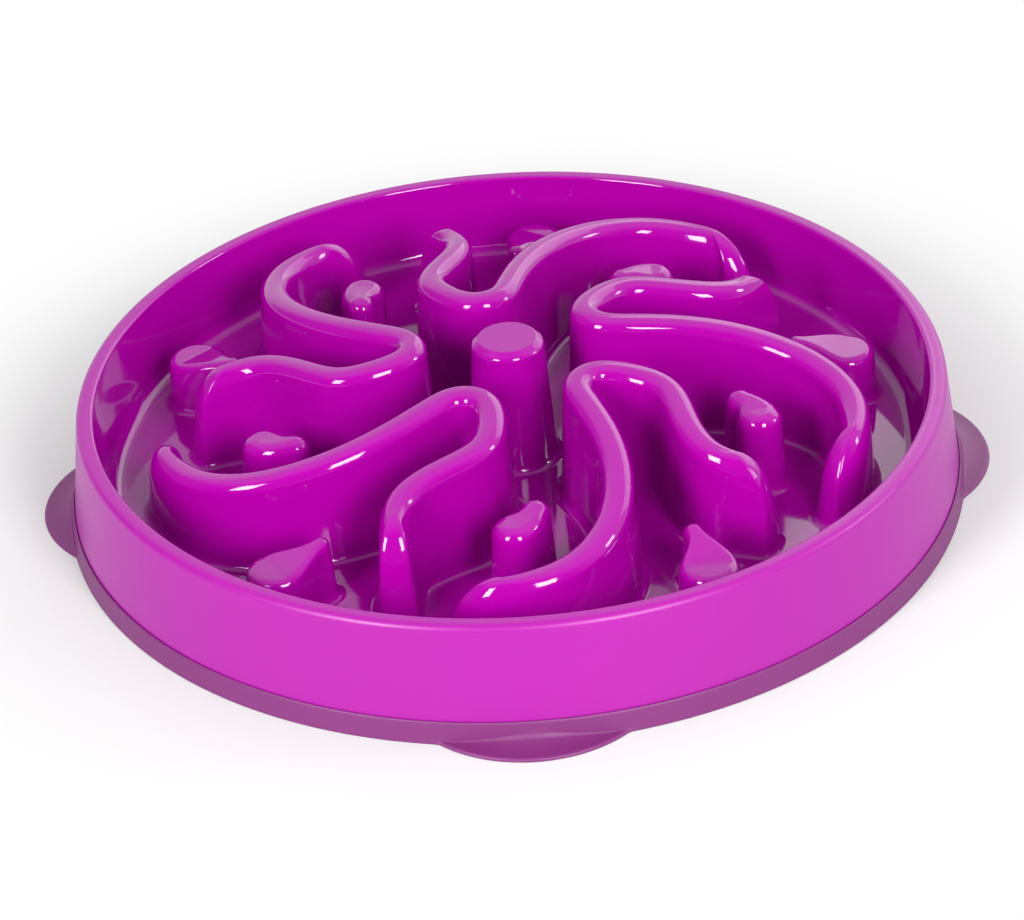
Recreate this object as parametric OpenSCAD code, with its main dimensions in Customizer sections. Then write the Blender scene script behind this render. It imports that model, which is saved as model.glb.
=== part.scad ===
// Slow feeder bowl: a round bowl with a maze of ridges on its floor, standing on a
// soft base ring with four feet. The bowl is one thin moulding, hollow from below.
// Z is up, the table is at zero, and the middle of the bowl is at the origin.

/* [Bowl] */
// Diameter across the rim
rim_d = 274; // [250:1:320]
// Height of the rim above the table
bowl_h = 38.5; // [36:0.5:50]
// Width of the rim across its top
rim_w = 5.2; // [5:0.1:9]
// Roundness of the rim's outer edge
rim_round = 2.4; // [1:0.1:3.2]
// Roundness of the rim's inner edge
lip_round = 1.2; // [0.5:0.1:1.8]
// Thickness of the moulding
wall_t = 2.4; // [1.6:0.1:2.6]
// Lean of the outer skirt from upright, in degrees
skirt_lean = 6.8; // [2:0.1:14]
// Lean of the inner wall from upright, in degrees
wall_lean = 7; // [3:0.1:10]
// Roundness of the corner between the inner wall and the floor
corner_r = 5; // [2:0.5:8]
// Height of the feeding floor above the table
floor_h = 11.5; // [10:0.5:16]

/* [Ridges] */
// Direction of the first ridge, in degrees
maze_turn = 6; // [0:1:71]
// Height that the domed top of the maze reaches in the middle
dome_h = 53.8; // [48:0.1:60]
// Radius of the dome that the tops of the maze lie under
dome_r = 405; // [300:5:600]
// Width of a ridge at its shoulders
ridge_w = 9.6; // [8.6:0.1:10.6]
// Roundness of a ridge's top edges
ridge_round = 4.2; // [2.6:0.1:4.4]
// Draft of the maze's walls, in degrees
draft = 3.3; // [1:0.1:4]
// How far the long arm's end reaches past its line at the shoulders
hook_nose = 1.8; // [0.5:0.1:3]
// How far back from the end of the long arm its top stops
hook_back = 15; // [8:0.5:20]
// Share of its height that the rounded end of the long arm comes down
hook_fall = 0.82; // [0.4:0.01:0.88]
// How far the short arm's end reaches past its line at the shoulders
arm_nose = 1.3; // [0.5:0.1:3]
// How far back from the end of the short arm its top stops
arm_back = 12; // [8:0.5:18]
// Share of its height that the rounded end of the short arm comes down
arm_fall = 0.56; // [0.4:0.01:0.88]
// How much further a ridge's ends reach at the floor
nose_flare = 2; // [1.6:0.1:3]

/* [Seeds and teardrops] */
// Half the width of a small seed's thin end
seed_thin = 4.6; // [4.4:0.1:6]
// Half the width of a small seed's thick end
seed_thick = 7; // [6:0.1:8]
// How far a small seed's top lies under the dome
seed_sink = 8.2; // [4:0.1:14]
// Roundness of a small seed's top edge
seed_round = 4.2; // [2.6:0.1:4.4]
// Half the width of a teardrop's thin end
tear_thin = 3.1; // [3:0.1:5]
// Half the width of a teardrop's thick end
tear_thick = 9.1; // [6:0.1:9.4]
// How far a teardrop's top lies under the dome
tear_sink = 10.5; // [6:0.1:15]
// Roundness of a teardrop's top edge
tear_round = 2.8; // [2.6:0.1:3]

/* [Centre post] */
// Radius of the post under its bevel
post_r = 11.5; // [8:0.1:14]
// Width of the bevel round the post's flat top
bevel_w = 2.3; // [1.2:0.1:3.2]
// Height of the bevel
bevel_h = 1.9; // [1.2:0.1:3.2]
// Roundness of the edge between the bevel and the post's side
post_round = 2; // [0.5:0.1:2.2]
// Roundness of the edge between the bevel and the flat top
post_edge = 0.8; // [0.2:0.1:0.8]

/* [Base ring] */
// Height of the ring where it meets the skirt
ring_h = 7.5; // [6:0.1:9]
// How far the ring's shoulder stands out past the skirt
ring_step = 0.7; // [0.7:0.1:2]
// Lean of the ring's outer face from upright, in degrees
ring_lean = 9; // [0:1:20]
// Roundness of the ring's shoulder
ring_round = 0.4; // [0.1:0.1:0.4]
// Width of the ring's underside
ring_w = 13; // [10:0.5:18]
// Height of the ring inside the skirt
ring_in_h = 5.5; // [4:0.1:7]
// Thickness of the ring under the skirt's edge
ring_floor_t = 2.5; // [1:0.1:3.4]
// Clearance between the skirt and the ring's groove
ring_fit = 0.12; // [0.08:0.01:0.2]

/* [Feet] */
// Number of feet
foot_count = 4; // [3:1:6]
// Radius of a foot's rounded outline
foot_r = 39.4; // [30:0.1:50]
// How far a foot reaches out past the ring's underside
foot_reach = 8.8; // [4:0.1:12]
// Thickness of a foot at its outer edge
foot_edge_t = 1.2; // [1:0.1:2]
// Roundness of a foot's outer edge
foot_round = 0.9; // [0.3:0.1:0.9]
// Height of the scoop in a foot's top
scoop_h = 3.2; // [1:0.1:4]
// Width of the scoop in a foot's top
scoop_w = 9.4; // [6:0.1:12]

/* [Hidden] */

bowl_colour = "mediumvioletred";
ring_colour = "purple";

// Ridges, and seeds and teardrops, round the maze
maze_count = 5;
// One overrun serves every cut
over = 1;
// Points along a rounded edge, and along half a rounded end
edge_steps = 8;
end_steps = 4;
// Points in each span of a line
span_steps = 3;
// The falling end of a ridge's line, as a share of how far back the top stops
nose_run = 2.2;
// Share of a rounded edge that a hollow under it takes at most
hollow_share = 0.9;

// Line of a ridge, from the end of its long arm through its tip near the post to the end
// of its short arm: distance from the middle as a share of the rim's radius, and degrees
// from the ridge's own direction
ridge_line_shares = [
    [0.793, -34.3], [0.825, -31], [0.815, -24.5], [0.79, -17],
    [0.725, -10], [0.635, -4], [0.525, 1.5], [0.41, 6],
    [0.305, 9.5], [0.225, 14], [0.22, 34.5], [0.315, 40],
    [0.41, 39], [0.495, 26], [0.6, 20.5], [0.725, 25.5]
];
// Line of a seed and of a teardrop from the thin end to the thick one, in the same way
seed_line_shares = [[0.536, -20.2], [0.57, -22], [0.591, -25.2]];
tear_line_shares = [[0.7, 8.8], [0.757, 7.8], [0.809, 6]];

rim_r = rim_d / 2;
sector = 360 / maze_count;

// Radius of the skirt's outside, and of the inner wall's face, at a height
function skirt_r(z) = rim_r + (bowl_h - z) * tan(skirt_lean);
function wall_r(z) = rim_r - rim_w - (bowl_h - z) * tan(wall_lean);

skirt_foot = ring_floor_t;
skirt_t = wall_t / cos(skirt_lean);
wall_across = wall_t / cos(wall_lean);
corner_x = wall_r(floor_h) - corner_r * (1 - sin(wall_lean)) / cos(wall_lean);
floor_under = floor_h - wall_t;

function arc(x, y, r, from, to) =
    [for (k = [0 : edge_steps]) let (a = from + (to - from) * k / edge_steps)
        [x + r * cos(a), y + r * sin(a)]];

// The wall is a fold: down outside as the skirt, down inside as the inner wall
shoulder_x = rim_r - rim_round * (1 - sin(skirt_lean)) / cos(skirt_lean);
lip_x = rim_r - rim_w + lip_round * (1 - sin(wall_lean)) / cos(wall_lean);
fold_z = bowl_h - wall_t;

module wall_outline() {
    polygon(concat(
        [[skirt_r(skirt_foot), skirt_foot]],
        arc(shoulder_x, bowl_h - rim_round, rim_round, skirt_lean, 90),
        arc(lip_x, bowl_h - lip_round, lip_round, 90, 180 - wall_lean),
        arc(corner_x, floor_h + corner_r, corner_r, -wall_lean, -90),
        arc(corner_x, floor_h + corner_r, corner_r + wall_t, -90, -wall_lean),
        [[wall_r(fold_z) + wall_across, fold_z],
         [skirt_r(fold_z) - skirt_t, fold_z],
         [skirt_r(skirt_foot) - skirt_t, skirt_foot]]));
}

module bowl_wall() {
    color(bowl_colour)
        rotate_extrude($fn = 180)
            wall_outline();
}

// Height of the dome over a point of the floor
function dome_z(r) = dome_h - dome_r + sqrt(dome_r * dome_r - r * r);

function polar(row) = [rim_r * row[0] * cos(row[1]), rim_r * row[0] * sin(row[1])];

// A smooth run beside four points of a line
function blend(a, b, c, d, t) =
    (pow(1 - t, 3) * a + (3 * pow(t, 3) - 6 * t * t + 4) * b
     + (3 * t + 3 * t * t - 3 * pow(t, 3) + 1) * c + pow(t, 3) * d) / 6;

function smooth_line(shares) =
    let (marks = [for (row = shares) polar(row)],
         last = len(marks) - 1,
         held = concat(
             [2 * marks[0] - marks[1]],
             marks,
             [2 * marks[last] - marks[last - 1]]))
        [for (k = [0 : last * span_steps])
            let (s = min(floor(k / span_steps), last - 1), t = k / span_steps - s)
                blend(held[s], held[s + 1], held[s + 2], held[s + 3], t)];

// Direction of a line at each of its points, and the side to its right
function along(line) =
    [for (k = [0 : len(line) - 1])
        let (d = line[min(k + 1, len(line) - 1)] - line[max(k - 1, 0)]) d / norm(d)];
function to_right(d) = [d[1], -d[0]];

// Distance along a line from its first point to each point
function run_along(line) =
    let (last = len(line) - 1)
        [for (k = 0, s = 0; k <= last;
              s = s + norm(line[min(k + 1, last)] - line[k]), k = k + 1) s];

// A loop round a line: it starts behind the first point, runs up the right side and comes
// back on the left. half is its distance from the line and z its height, point by point;
// noses is how far it reaches past the line's first and last point
function end_point(line, way, k, ahead, side, a, half, nose, z) =
    let (p = line[k] + nose * ahead * cos(a) * way[k]
             + half[k] * side * sin(a) * to_right(way[k]))
        [p[0], p[1], z[k]];
function half_loop(line, way, side, half, noses, z) =
    let (last = len(line) - 1)
        concat(
            [for (k = [1 : end_steps - 1]) let (a = 90 * k / end_steps)
                end_point(line, way, 0, -1, side, a, half, noses[0], z)],
            [for (k = [0 : last]) end_point(line, way, k, 1, side, 90, half, 0, z)],
            [for (k = [1 : end_steps - 1]) let (a = 90 - 90 * k / end_steps)
                end_point(line, way, last, 1, side, a, half, noses[1], z)]);
function reversed(list) = [for (k = [len(list) - 1 : -1 : 0]) list[k]];
function loop_round(line, half, noses, z) =
    let (way = along(line), last = len(line) - 1)
        concat(
            [end_point(line, way, 0, -1, 1, 0, half, noses[0], z)],
            half_loop(line, way, 1, half, noses, z),
            [end_point(line, way, last, 1, 1, 0, half, noses[1], z)],
            reversed(half_loop(line, way, -1, half, noses, z)));

// Loops of a shell's outside from its foot to its top, then of its inside from top to foot
function bands(count, levels, shut) =
    [for (j = [0 : levels - 1]) if (j != shut)
        for (k = [0 : count - 1])
            let (n = (k + 1) % count, up = (j + 1) % levels)
                each [[j * count + k, up * count + k, up * count + n],
                      [j * count + k, up * count + n, j * count + n]]];
// Faces that close a loop of an even count across its own axis
function lid(count) = concat(
    [[0, count - 1, 1]],
    [for (k = [1 : count / 2 - 2])
        each [[k, count - k, count - k - 1], [k, count - k - 1, k + 1]]],
    [[count / 2 - 1, count / 2 + 1, count / 2]]);

module shell(loops, shut) {
    count = len(loops[0]);
    levels = len(loops);
    polyhedron(
        points = [for (loop = loops) each loop],
        faces = concat(
            bands(count, levels, shut),
            [for (f = lid(count)) f + shut * count * [1, 1, 1]],
            [for (f = lid(count)) reversed(f) + (shut + 1) * count * [1, 1, 1]]));
}

// Angles of a rounded edge from its shoulder to its top, outside and in the hollow
round_angles = [0, 30, 60, 90];
hollow_angles = [90, 45, 0];

// How far a wall stands out at the floor for a shoulder at height z
function foot_out(z) = (z - floor_h) * tan(draft);
wall_in = wall_t / cos(draft);

// A loop on the rounded edge between a shoulder and a top
function edge_loop(shoulder, top, a) =
    [for (k = [0 : len(top) - 1])
        let (d = shoulder[k] - top[k]) top[k] + [d[0] * cos(a), d[1] * cos(a), d[2] * (1 - sin(a))]];
function lowered(loop, depth) = [for (p = loop) [p[0], p[1], p[2] - depth]];
function less(list, inset) = [for (d = list) d - inset];

// Loops of a form of the maze: outside from its foot to its top, then in its hollow from the
// top down. Each row is a line, half widths along it, reaches past its two ends, and heights
function row_loop(row, inset) =
    loop_round(row[0], less(row[1], inset), less(row[2], inset), row[3]);
function hollow_row(shoulder, top) = [
    shoulder[0],
    [for (k = [0 : len(shoulder[1]) - 1])
        shoulder[1][k] - min(wall_t, hollow_share * (shoulder[1][k] - top[1][k]))],
    [for (reach = shoulder[2]) reach - min(wall_t, hollow_share * reach)],
    [for (k = [0 : len(shoulder[3]) - 1]) min(shoulder[3][k], top[3][k] - wall_t / hollow_share)]
];
function form_loops(foot, shoulder, top) =
    let (outside = row_loop(shoulder, 0),
         peak = row_loop(top, 0),
         inside = row_loop(hollow_row(shoulder, top), 0),
         roof = lowered(peak, wall_t))
        concat(
            [row_loop(foot, 0)],
            [for (a = round_angles) edge_loop(outside, peak, a)],
            [for (a = hollow_angles) edge_loop(inside, roof, a)],
            [row_loop(foot, wall_in)]);

// Half width of a flat top for a half width at the shoulder and the roundness between them
function flat_half(half, round_r) = max(half - round_r, (1 - hollow_share) * half / 2);
function ends(list) = [list[0], list[len(list) - 1]];
function same(list, value) = [for (item = list) value];

ridge_line = smooth_line(ridge_line_shares);
ridge_run = run_along(ridge_line);
ridge_l = ridge_run[len(ridge_run) - 1];
hook_part = [for (s = ridge_run) pow(max(0, 1 - s / (nose_run * hook_back)), 2)];
arm_part = [for (s = ridge_run) pow(max(0, 1 - (ridge_l - s) / (nose_run * arm_back)), 2)];
ridge_x = [for (k = [0 : len(ridge_run) - 1]) [ridge_run[k], ridge_line[k][0]]];
ridge_y = [for (k = [0 : len(ridge_run) - 1]) [ridge_run[k], ridge_line[k][1]]];
ridge_top_line = [
    for (k = [0 : len(ridge_run) - 1])
        let (s = ridge_run[k] + hook_back * hook_part[k] - arm_back * arm_part[k])
            [lookup(s, ridge_x), lookup(s, ridge_y)]
];
ridge_top = [for (p = ridge_top_line) dome_z(norm(p))];
ridge_shoulder = [
    for (k = [0 : len(ridge_run) - 1])
        let (tall = ridge_top[k] - floor_h)
            ridge_top[k] - ridge_round - hook_part[k] * (hook_fall * tall - ridge_round)
            - arm_part[k] * (arm_fall * tall - ridge_round)
];
ridge_half = ridge_w / 2;
ridge_flat = flat_half(ridge_half, ridge_round);
ridge_foot = [for (p = ridge_line) ridge_half + foot_out(dome_z(norm(p)) - ridge_round)];
ridge_noses = [hook_nose, arm_nose];
ridge_loops = form_loops(
    [ridge_line, ridge_foot, ridge_noses + nose_flare * [1, 1], same(ridge_run, floor_h)],
    [ridge_line, same(ridge_run, ridge_half), ridge_noses, ridge_shoulder],
    [ridge_top_line, same(ridge_run, ridge_flat), ridge_flat * [1, 1], ridge_top]);

module ridge(number) {
    color(bowl_colour)
        rotate(maze_turn + sector * (number - 1))
            shell(ridge_loops, len(round_angles));
}

// A seed or teardrop widens from its thin end to its thick one
function seed_loops(shares, thin, thick, sink, round_r) =
    let (line = smooth_line(shares),
         run = run_along(line),
         half = [for (s = run) let (t = s / run[len(run) - 1])
             thin + (thick - thin) * t * t * (3 - 2 * t)],
         flat = [for (d = half) flat_half(d, round_r)],
         top = [for (p = line) dome_z(norm(p)) - sink],
         out = foot_out(max(top) - round_r),
         foot = less(half, -out))
        form_loops(
            [line, foot, ends(foot), same(run, floor_h)],
            [line, half, ends(half), less(top, round_r)],
            [line, flat, ends(flat), top]);

small_seed_loops = seed_loops(seed_line_shares, seed_thin, seed_thick, seed_sink, seed_round);
teardrop_loops = seed_loops(tear_line_shares, tear_thin, tear_thick, tear_sink, tear_round);

module seed(number) {
    color(bowl_colour)
        rotate(maze_turn + sector * (number - 1))
            shell(small_seed_loops, len(round_angles));
}

module teardrop(number) {
    color(bowl_colour)
        rotate(maze_turn + sector * (number - 1))
            shell(teardrop_loops, len(round_angles));
}

// The post's top is flat, with a bevel round it that faces upward by this angle
bevel_up = 90 - atan2(bevel_h, bevel_w);
post_foot_r = post_r + foot_out(dome_h - bevel_h);

// A rounded corner between two faces, which face outward at the two angles. The corner of the
// sharp outline is at x and y, and the outline is moved in by the inset
function corner(x, y, inset, r, from, to) =
    let (middle = (from + to) / 2, reach = (inset + r) / cos((to - from) / 2))
        arc(x - reach * cos(middle), y - reach * sin(middle), r, from, to);

module centre_post() {
    color(bowl_colour)
        rotate_extrude($fn = 96)
            polygon(concat(
                [[post_foot_r, floor_h]],
                corner(post_r, dome_h - bevel_h, 0, post_round, draft, bevel_up),
                corner(post_r - bevel_w, dome_h, 0, post_edge, bevel_up, 90),
                [[0, dome_h], [0, dome_h - wall_t]],
                [corner(post_r - bevel_w, dome_h, wall_t, 0, bevel_up, 90)[0],
                 corner(post_r, dome_h - bevel_h, wall_t, 0, draft, bevel_up)[0]],
                [[post_foot_r - wall_in, floor_h]]));
}

// The floor is open under every hollow of the maze
module floor_slots() {
    circle(post_foot_r - wall_in, $fn = 96);
    for (k = [1 : maze_count])
        rotate(maze_turn + sector * (k - 1)) {
            polygon(flat(ends(ridge_loops)[1]));
            polygon(flat(ends(small_seed_loops)[1]));
            polygon(flat(ends(teardrop_loops)[1]));
        }
}
function flat(points) = [for (p = points) [p[0], p[1]]];

module bowl_floor() {
    color(bowl_colour)
        difference() {
            translate([0, 0, floor_under])
                cylinder(h = wall_t, r = corner_x, $fn = 180);
            translate([0, 0, floor_under - over])
                linear_extrude(wall_t + 2 * over)
                    floor_slots();
        }
}

// Radius of the ring's outer face at a height
ring_top_r = skirt_r(ring_h) + ring_step;
function ring_r(z) = ring_top_r + (ring_h - z) * tan(ring_lean);

foot_out_r = ring_r(0) + foot_reach;
foot_in_r = ring_r(0) - ring_w / 2;

// A foot is a dished disc, cut off inside the ring
module foot() {
    difference() {
        translate([foot_out_r - foot_r, 0, 0])
            rotate_extrude($fn = 120)
                polygon(concat(
                    [[0, 0]],
                    [for (k = [0 : edge_steps / 2]) let (a = 180 * k / edge_steps)
                        [foot_r - foot_round * (1 - cos(a)), foot_round * sin(a)]],
                    [for (k = [0 : edge_steps]) let (s = k / edge_steps)
                        [foot_r - foot_round - (scoop_w - foot_round) * s,
                         foot_edge_t + scoop_h * s * s]],
                    [[0, foot_edge_t + scoop_h]]));
        translate([0, 0, -over])
            cylinder(h = foot_edge_t + scoop_h + 2 * over, r = foot_in_r, $fn = 180);
    }
}

// The ring before its groove is cut, which runs down through its step
module ring_body() {
    step_r = skirt_r(ring_h) - skirt_t / 2;
    rotate_extrude($fn = 180)
        polygon([
            [ring_r(0) - ring_w, 0],
            [ring_r(0), 0],
            [ring_r(ring_h - ring_round), ring_h - ring_round],
            [ring_top_r - ring_round, ring_h],
            [step_r, ring_h],
            [step_r, ring_in_h],
            [ring_r(0) - ring_w, ring_in_h]]);
}

// The groove that the edge of the skirt sits in
function groove_out_r(z) = skirt_r(z) + ring_fit / cos(skirt_lean);
function groove_in_r(z) = skirt_r(z) - skirt_t - ring_fit / cos(skirt_lean);

module groove() {
    rotate_extrude($fn = 180)
        polygon([
            [groove_in_r(skirt_foot), skirt_foot],
            [groove_out_r(skirt_foot), skirt_foot],
            [groove_out_r(ring_h + over), ring_h + over],
            [groove_in_r(ring_h + over), ring_h + over]]);
}

module base_ring() {
    color(ring_colour)
        difference() {
            union() {
                ring_body();
                for (k = [0 : foot_count - 1])
                    rotate(360 * k / foot_count)
                        foot();
            }
            groove();
        }
}

bowl_wall();
bowl_floor();
centre_post();
base_ring();
ridge(1);  // ridge_1
ridge(2);  // ridge_2
ridge(3);  // ridge_3
ridge(4);  // ridge_4
ridge(5);  // ridge_5
seed(1);  // seed_1
seed(2);  // seed_2
seed(3);  // seed_3
seed(4);  // seed_4
seed(5);  // seed_5
teardrop(1);  // teardrop_1
teardrop(2);  // teardrop_2
teardrop(3);  // teardrop_3
teardrop(4);  // teardrop_4
teardrop(5);  // teardrop_5
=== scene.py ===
import math

import bmesh
import bpy
import numpy as np
from mathutils import Matrix, Vector
from mathutils.geometry import delaunay_2d_cdt


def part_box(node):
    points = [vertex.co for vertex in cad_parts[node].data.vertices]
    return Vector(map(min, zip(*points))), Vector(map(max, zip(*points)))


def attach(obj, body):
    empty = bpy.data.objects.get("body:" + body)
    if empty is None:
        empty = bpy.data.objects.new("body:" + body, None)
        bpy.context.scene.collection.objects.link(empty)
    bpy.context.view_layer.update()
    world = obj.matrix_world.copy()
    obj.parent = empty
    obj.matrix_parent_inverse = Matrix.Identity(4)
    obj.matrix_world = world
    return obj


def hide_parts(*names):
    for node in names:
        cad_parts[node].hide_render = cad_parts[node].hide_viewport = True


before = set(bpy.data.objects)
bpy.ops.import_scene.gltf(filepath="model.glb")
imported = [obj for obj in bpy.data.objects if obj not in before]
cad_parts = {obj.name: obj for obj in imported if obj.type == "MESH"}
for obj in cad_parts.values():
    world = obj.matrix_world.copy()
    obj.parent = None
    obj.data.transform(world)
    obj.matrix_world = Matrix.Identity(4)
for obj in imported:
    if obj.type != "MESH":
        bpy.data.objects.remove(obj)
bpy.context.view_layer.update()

MM = 0.001

# Camera: the photograph's frame in pixels, where the bowl's origin lies in it, and the view
IMAGE_W = 1024
IMAGE_H = 920
FOCAL_PX = 4221.7
ORIGIN_PX_X = 516.8
ORIGIN_PX_Y = 481.1
CAMERA_RISE = math.radians(32.43)
CAMERA_ROLL = math.radians(-3.845)
CAMERA_DEPTH = 1351.7 * MM
SENSOR_W = 36


def make_camera():
    """The photograph's camera: it looks along +Y, down by the rise, and is turned by the roll."""
    level = Vector((1, 0, 0))
    upward = Vector((0, math.sin(CAMERA_RISE), math.cos(CAMERA_RISE)))
    ahead = Vector((0, math.cos(CAMERA_RISE), -math.sin(CAMERA_RISE)))
    right = level * math.cos(CAMERA_ROLL) + upward * math.sin(CAMERA_ROLL)
    top = upward * math.cos(CAMERA_ROLL) - level * math.sin(CAMERA_ROLL)
    px = CAMERA_DEPTH / FOCAL_PX
    place = (
        right * (IMAGE_W / 2 - ORIGIN_PX_X) * px
        + top * (ORIGIN_PX_Y - IMAGE_H / 2) * px
        - ahead * CAMERA_DEPTH
    )
    data = bpy.data.cameras.new("photo_camera")
    data.sensor_width = SENSOR_W
    data.lens = FOCAL_PX * SENSOR_W / IMAGE_W
    camera = bpy.data.objects.new("photo_camera", data)
    turn = Matrix((right, top, -ahead)).transposed().to_4x4()
    camera.matrix_world = Matrix.Translation(place) @ turn
    bpy.context.scene.collection.objects.link(camera)
    bpy.context.scene.camera = camera


make_camera()


def box_mm(node):
    """Lowest and highest corner of a CAD node in millimetres."""
    low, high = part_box(node)
    return low / MM, high / MM


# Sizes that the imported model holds: the bowl's height, the skirt's lower edge, the floor's two
# sides and its radius, the post's top, the ring's height and how far out its feet reach
WALL_LOW, WALL_HIGH = box_mm("bowl_wall")
FLOOR_LOW, FLOOR_HIGH = box_mm("bowl_floor")
RING_HIGH = box_mm("base_ring")[1]
BOWL_H = WALL_HIGH.z
SKIRT_FOOT = WALL_LOW.z
FLOOR_Z = FLOOR_HIGH.z
FLOOR_UNDER = FLOOR_LOW.z
CORNER_X = FLOOR_HIGH.x
POST_TOP = box_mm("centre_post")[1].z
RING_H = RING_HIGH.z
FOOT_OUT_R = RING_HIGH.x

# Bowl: wall thickness, leans of the skirt and the inner wall, the rim's radius and width, and the
# roundness of the rim's outer and inner edge, of the inner wall's foot, of the fold under the rim
# and of the skirt's lower edge
WALL_T = FLOOR_Z - FLOOR_UNDER
SKIRT_LEAN = math.radians(6.8)
WALL_LEAN = math.radians(7)
RIM_R = WALL_HIGH.x - (BOWL_H - SKIRT_FOOT) * math.tan(SKIRT_LEAN)
RIM_W = 5.2
RIM_ROUND = 2.4
LIP_ROUND = 1.2
CORNER_R = 5
FOLD_ROUND = 1
SKIRT_EDGE = 0.4
# Satin starts at the rim's inner edge and is whole this far past the flat of the rim
SATIN_PAST_FLAT = 0.6

# Maze: how often its pattern repeats and where it starts, the dome over its tops, the draft of
# its walls, and their thickness measured level
MAZE_COUNT = 5
MAZE_TURN = math.radians(6)
DOME_H = 53.8
DOME_R = 405
DRAFT = math.radians(3.3)
WALL_IN = WALL_T / math.cos(DRAFT)

# Fillets at the feet of the maze: radius, the share of the free room that it may take, how much
# it may gain on its neighbours from point to point, and how often it is evened out
FILLET = 2.6
FILLET_ROOM_SHARE = 0.6
FILLET_GAIN = 0.06
FILLET_PASSES = 12
# Roundness of the mouths of the hollows
HOLLOW_EDGE = 0.6
# Flat kept beside a rounding so that both shade cleanly, and the most that it may take of a
# straight run and of the way from a top's edge to its middle line
KEEP_FLAT = 0.4
FLAT_SHARE_MOST = 0.3
LID_SHARE_MOST = 0.8
# How far a loop is moved to test its room, the least closing in that counts, and the room of a
# point whose neighbours don't close in
TRIAL_MOVE = 0.1
CLOSING_LEAST = 1e-4
FREE_ROOM = 1e3
# Points of a plate that lie closer than this are one point
SAME_POINT = 1e-5

# Ridges: marks of the line that each one follows, as distance from the middle in shares of the
# rim's radius and degrees, then half its width and the roundness of its top edge
RIDGE_LINE_SHARES = [
    (0.793, -34.3), (0.825, -31), (0.815, -24.5), (0.79, -17),
    (0.725, -10), (0.635, -4), (0.525, 1.5), (0.41, 6),
    (0.305, 9.5), (0.225, 14), (0.22, 34.5), (0.315, 40),
    (0.41, 39), (0.495, 26), (0.6, 20.5), (0.725, 25.5),
]
RIDGE_HALF = 4.8
RIDGE_ROUND = 4.2
# Ends of the long and the short arm: how far the shoulder reaches past the line, how far back
# the top stops, and the share of its height above the floor that the rounded end comes down
HOOK_NOSE = (1.8, 15, 0.82)
ARM_NOSE = (1.3, 12, 0.56)
# Length of an end's fall as a multiple of how far back its top stops, the share of a nose that
# is solid, and how much further a nose reaches at its foot
NOSE_RUN = 2.2
NOSE_SOLID_SHARE = 0.9
NOSE_FLARE = 2

# Seeds and teardrops: the line from the thin end to the thick one, half the width at either,
# depth of the top under the dome, and roundness of the top edge
SEED_LINE_SHARES = [(0.536, -20.2), (0.57, -22), (0.591, -25.2)]
SEED_HALVES = (4.6, 7)
SEED_SINK = 8.2
SEED_ROUND = 4.2
TEAR_LINE_SHARES = [(0.7, 8.8), (0.757, 7.8), (0.809, 6)]
TEAR_HALVES = (3.1, 9.1)
TEAR_SINK = 10.5
TEAR_ROUND = 2.8

# Centre post: its radius under the bevel round its flat top, the bevel's width and height, how
# far up from level it faces, and the roundness of its lower and upper edge
POST_R = 11.5
BEVEL_W = 2.3
BEVEL_H = 1.9
BEVEL_UP = math.atan2(BEVEL_W, BEVEL_H)
POST_ROUND = 2
POST_EDGE = 0.8

# Base ring: how far its top stands out from the skirt, the lean of its outer face and the
# roundness of that face's top, its width on the table, the height of its inner side, its
# clearance beside the skirt, and the roundness of its small edges
RING_STEP = 0.7
RING_LEAN = math.radians(9)
RING_ROUND = 0.4
RING_W = 13
RING_IN_H = 5.5
RING_FIT = 0.12
RING_EDGE = 0.35
# Feet: radius, distance of their middles from the bowl's, thickness at the edge, and the
# roundness of that edge and of the ring's inner one
FOOT_COUNT = 4
FOOT_R = 39.4
FOOT_MIDDLE = FOOT_OUT_R - FOOT_R
FOOT_EDGE = 1.2
FOOT_ROUND = 0.9
# Scoop in each foot's top: height, how far it bites into the ring, the fine lip beside it, that
# lip's width and the height over which it grows in, the softness of the blend into the ring, and
# how far the blend is set back to stay inside the solid
SCOOP_H = 3.2
SCOOP_BITE = 0.4
SCOOP_LIP = 0.22
SCOOP_LIP_W = 0.45
SCOOP_LIP_RISE = SCOOP_H / 3
SCOOP_BLEND = 0.5
SCOOP_BACK = 0.0125

# Fineness of the meshes: points round the bowl, steps between two marks of a line and round a
# quarter of its end, and points round the post
TURN_STEPS = 360
SPAN_STEPS = 8
END_STEPS = 8
POST_POINTS = 72
# Steps over a large rounding, a fillet, a foot's edge, a small rounding and a tiny one
ROUND_STEPS = 9
FILLET_STEPS = 6
EDGE_STEPS = 5
SMALL_STEPS = 4
TINY_STEPS = 3
# Steps up a scoop, and from there to the ring's top
SCOOP_STEPS = 24
ABOVE_STEPS = 7
# Points round the ring at a foot, within the spread to either side, and between two feet
FOOT_TURN_STEPS = 112
FOOT_SPREAD = math.radians(14)
RING_TURN_STEPS = 62


def skirt_r(z):
    """Radius of the skirt's outer face at a height."""
    return RIM_R + (BOWL_H - z) * math.tan(SKIRT_LEAN)


def wall_r(z):
    """Radius of the inner wall's face at a height."""
    return RIM_R - RIM_W - (BOWL_H - z) * math.tan(WALL_LEAN)


def dome_z(xy):
    """Height of the dome over points of the floor."""
    return DOME_H - DOME_R + np.sqrt(DOME_R**2 - (xy**2).sum(axis=-1))


def arc(x, z, radius, start, end, steps=ROUND_STEPS):
    """Points (r, z) along an arc; the angles are in radians from outward."""
    a = np.linspace(start, end, steps + 1)
    return np.column_stack([x + radius * np.cos(a), z + radius * np.sin(a)])


def line(start, end):
    """A straight run between two arcs, with a point close to each so that both shade cleanly."""
    start, end = np.array(start, float), np.array(end, float)
    share = min(FLAT_SHARE_MOST, KEEP_FLAT / max(np.linalg.norm(end - start), KEEP_FLAT))
    return np.array([start + (end - start) * s for s in (share, 0.5, 1 - share)])


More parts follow.
